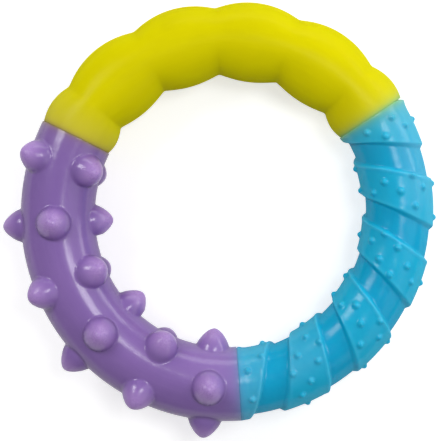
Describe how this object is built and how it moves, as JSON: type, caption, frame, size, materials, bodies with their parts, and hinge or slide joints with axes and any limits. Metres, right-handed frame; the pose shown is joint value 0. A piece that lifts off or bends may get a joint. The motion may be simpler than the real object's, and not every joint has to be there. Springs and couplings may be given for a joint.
{
  "type": "dog chew ring",
  "caption": "Soft rubber chew ring for a small dog: a nubbed, a helically banded and a lobed section, keyed end to end.",
  "frame": {"origin": "centre of the ring, on the middle plane of its tube", "axes": "+Z along the ring's axis, +Y through the middle of the lobed section, +X towards the banded section"},
  "size_m": [0.1461, 0.1448, 0.037],
  "materials": {
    "yellow_rubber": "satin moulded soft rubber, slightly translucent",
    "violet_rubber": "glossy moulded soft rubber",
    "blue_rubber": "glossy moulded soft rubber, slightly translucent"
  },
  "bodies": {
    "root": {"lobed_section": "yellow_rubber", "nubbed_section": "violet_rubber", "wrapped_section": "blue_rubber"}
  },
  "joints": []
}
